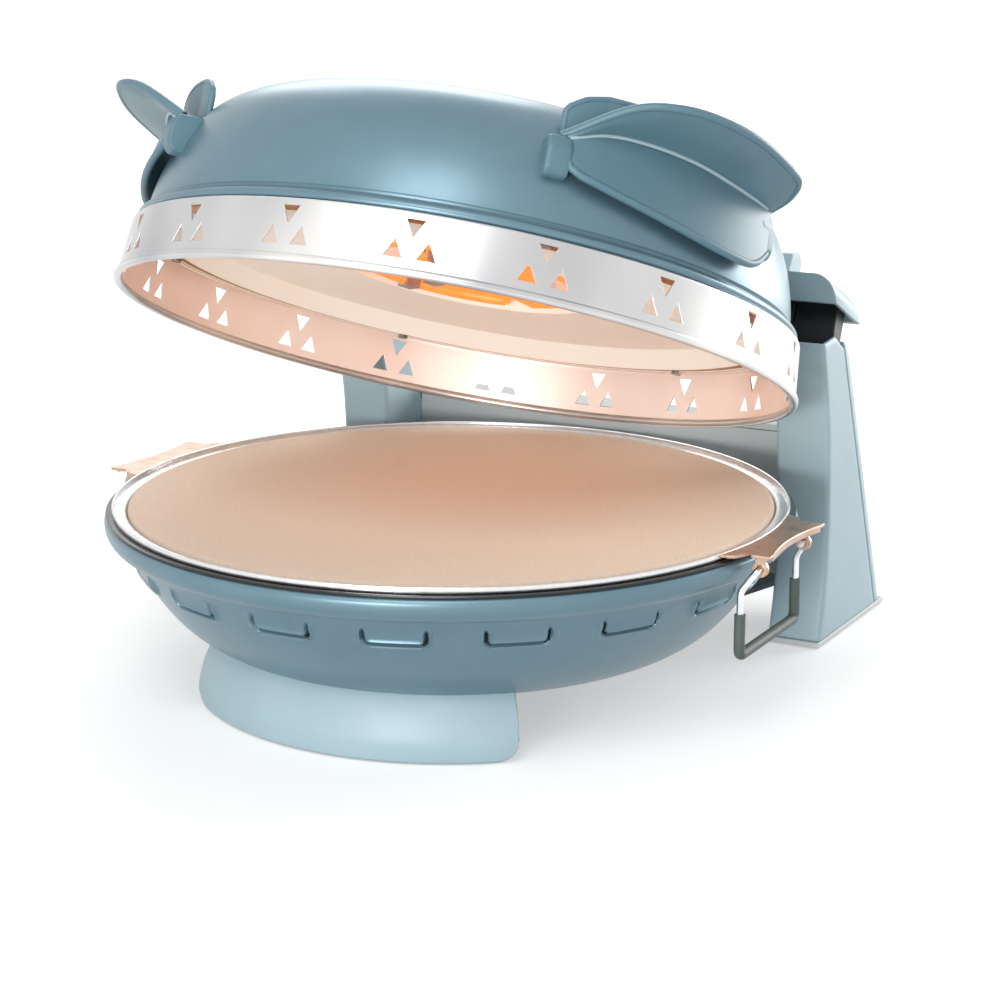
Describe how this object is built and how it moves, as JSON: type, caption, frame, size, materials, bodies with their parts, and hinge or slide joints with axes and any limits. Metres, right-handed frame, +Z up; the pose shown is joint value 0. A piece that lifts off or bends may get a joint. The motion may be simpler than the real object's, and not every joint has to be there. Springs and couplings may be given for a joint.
{
  "type": "electric pizza maker",
  "caption": "Round countertop pizza oven: painted bowl with lift-out stone tray, domed lid with pierced steel band hinged between rear pillars.",
  "frame": {"origin": "centre of the bounding box at floor level, with the machine standing on its feet and the lid part open", "axes": "+Z up, -Y towards the user at the front, +X to the user's right, the lid hinge at +Y"},
  "size_m": [0.3868, 0.425, 0.3209],
  "materials": {
    "blue_paint": "satin metallic grey-blue enamel on pressed steel",
    "moulded_blue": "satin grey-blue moulded heat-resistant plastic",
    "cast_blue": "painted die casting",
    "pale_plastic": "pale grey moulded plastic",
    "black_enamel": "gloss black vitreous enamel on steel",
    "cream_enamel": "cream heat-reflecting enamel",
    "stone": "fired cordierite, unglazed",
    "band_steel": "bright stainless sheet",
    "wire": "polished steel wire",
    "grip_rubber": "matt dark grey silicone",
    "sheath": "heat-darkened steel heater sheath",
    "shield_alu": "mill aluminium sheet",
    "ceramic": "white steatite",
    "fibre": "mineral fibre blanket",
    "black_plastic": "matt black plastic",
    "brass": "turned brass",
    "amber_lens": "clear amber lens",
    "zinc_steel": "zinc-plated steel"
  },
  "bodies": {
    "base": {"base_shell": "blue_paint", "oven_pan": "black_enamel", "lower_heating_element": "sheath", "lower_element_clips": "zinc_steel", "thermostat_probe": "zinc_steel", "base_heat_shield": "shield_alu", "shield_spacers": "ceramic", "pizza_stone": "stone", "tray_ring": "band_steel", "tray_bracket_right": "band_steel", "tray_bracket_left": "band_steel", "front_foot": "moulded_blue", "foot_pads": "grip_rubber", "bottom_screws": "zinc_steel", "carrier_plate": "zinc_steel", "rear_bridge": "pale_plastic", "bridge_cap": "pale_plastic", "terminal_block": "ceramic", "power_inlet": "black_plastic", "inlet_pins": "brass", "pillar_right": "moulded_blue", "pillar_left": "moulded_blue", "rear_cover_right": "moulded_blue", "rear_cover_left": "moulded_blue", "pillar_foot_right": "pale_plastic", "pillar_foot_left": "pale_plastic", "hinge_fork_right": "zinc_steel", "hinge_fork_left": "zinc_steel", "hinge_pins": "zinc_steel", "friction_washers": "zinc_steel", "thermostat_body": "shield_alu", "indicator_lens": "amber_lens"},
    "lid": {"lid_dome": "blue_paint", "lid_band": "band_steel", "band_bead": "band_steel", "lid_ceiling": "cream_enamel", "ring_screws": "zinc_steel", "upper_heating_element": "sheath", "upper_element_clips": "zinc_steel", "lid_heat_shield": "shield_alu", "lid_insulation": "fibre", "thermal_cutout": "ceramic", "hinge_arm_right": "cast_blue", "hinge_arm_left": "cast_blue", "hinge_bushes": "brass", "hinge_cap_right": "moulded_blue", "hinge_cap_left": "moulded_blue", "lid_handle_right": "moulded_blue", "lid_handle_left": "moulded_blue", "lid_screws": "zinc_steel"},
    "bail_right_swing": {"bail_right": "wire", "bail_grip_right": "grip_rubber"},
    "bail_left_swing": {"bail_left": "wire", "bail_grip_left": "grip_rubber"},
    "thermostat_dial": {"thermostat_knob": "black_plastic"}
  },
  "joints": [
    {"name": "lid_hinge", "type": "hinge", "parent": "base", "child": "lid", "pos_m": [0, 0.1515, 0.13], "axis": [-1, 0, 0], "range_deg": [-22.7, 70]},
    {"name": "bail_right_pivot", "type": "hinge", "parent": "base", "child": "bail_right_swing", "pos_m": [0.1854, -0.0325, 0.0916], "axis": [0, -1, 0], "range_deg": [0, 95]},
    {"name": "bail_left_pivot", "type": "hinge", "parent": "base", "child": "bail_left_swing", "pos_m": [-0.1854, -0.0325, 0.0916], "axis": [0, 1, 0], "range_deg": [0, 95]},
    {"name": "thermostat_turn", "type": "hinge", "parent": "base", "child": "thermostat_dial", "pos_m": [-0.16, 0.1395, 0.048], "axis": [-1, 0, 0], "range_deg": [0, 270]}
  ]
}
